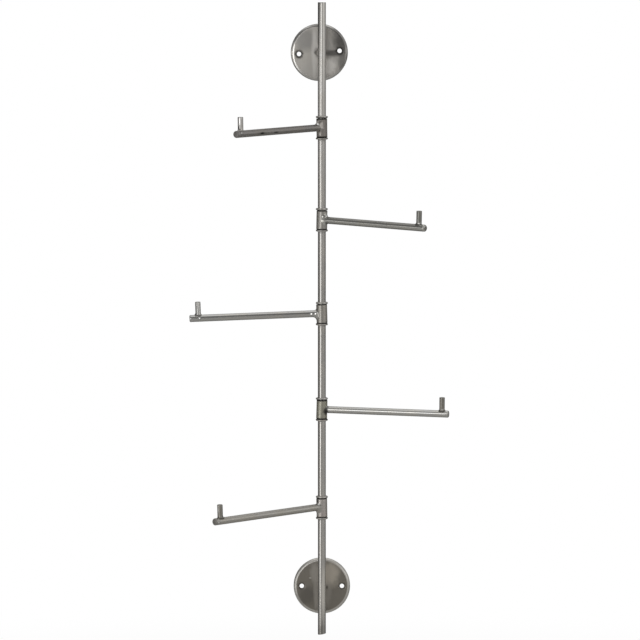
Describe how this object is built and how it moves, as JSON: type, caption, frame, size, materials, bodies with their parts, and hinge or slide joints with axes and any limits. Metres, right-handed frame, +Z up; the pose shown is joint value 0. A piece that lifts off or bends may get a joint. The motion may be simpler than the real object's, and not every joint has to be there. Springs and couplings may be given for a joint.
{
  "type": "wall coat rack",
  "caption": "Upright steel tube held off the wall by round rosettes, with swivelling arms along it that end in upturned pegs for hanging coats.",
  "frame": {"origin": "centre of the bottom rosette, on the wall plane", "axes": "+Z up along the pole, +Y into the wall, +X to the right of someone who faces the wall"},
  "size_m": [0.4078, 0.1975, 1],
  "materials": {
    "pole": "satin, lengthwise polishing marks",
    "rosette": "satin, fine straight polishing marks, rim polished brighter",
    "standoff": "satin",
    "screw": "bright zinc, smooth",
    "collar": "satin, darker where it is brazed",
    "sleeve": "satin, turned",
    "rod": "satin, lengthwise polishing marks, a few stains",
    "peg": "satin"
  },
  "bodies": {
    "root": {"pole": "pole", "top_rosette": "rosette", "top_standoff": "standoff", "top_screw": "screw", "top_washer": "screw", "bottom_rosette": "rosette", "bottom_standoff": "standoff", "bottom_screw": "screw", "bottom_washer": "screw", "arm_1_upper_collar": "collar", "arm_1_lower_collar": "collar", "arm_2_upper_collar": "collar", "arm_2_lower_collar": "collar", "arm_3_upper_collar": "collar", "arm_3_lower_collar": "collar", "arm_4_upper_collar": "collar", "arm_4_lower_collar": "collar", "arm_5_upper_collar": "collar", "arm_5_lower_collar": "collar"},
    "arm_1": {"arm_1_sleeve": "sleeve", "arm_1_rod": "rod", "arm_1_peg": "peg"},
    "arm_2": {"arm_2_sleeve": "sleeve", "arm_2_rod": "rod", "arm_2_peg": "peg"},
    "arm_3": {"arm_3_sleeve": "sleeve", "arm_3_rod": "rod", "arm_3_peg": "peg"},
    "arm_4": {"arm_4_sleeve": "sleeve", "arm_4_rod": "rod", "arm_4_peg": "peg"},
    "arm_5": {"arm_5_sleeve": "sleeve", "arm_5_rod": "rod", "arm_5_peg": "peg"}
  },
  "joints": [
    {"name": "arm_1_swing", "type": "hinge", "parent": "root", "child": "arm_1", "pos_m": [0, -0.035, 0.731], "axis": [0, 0, 1], "range_deg": [-57.5, 136.5]},
    {"name": "arm_2_swing", "type": "hinge", "parent": "root", "child": "arm_2", "pos_m": [0, -0.035, 0.5865], "axis": [0, 0, 1], "range_deg": [-147, 47]},
    {"name": "arm_3_swing", "type": "hinge", "parent": "root", "child": "arm_3", "pos_m": [0, -0.035, 0.4385], "axis": [0, 0, 1], "range_deg": [-10.5, 183.5]},
    {"name": "arm_4_swing", "type": "hinge", "parent": "root", "child": "arm_4", "pos_m": [0, -0.035, 0.287], "axis": [0, 0, 1], "range_deg": [-172, 22]},
    {"name": "arm_5_swing", "type": "hinge", "parent": "root", "child": "arm_5", "pos_m": [0, -0.035, 0.1305], "axis": [0, 0, 1], "range_deg": [-43, 151]}
  ]
}
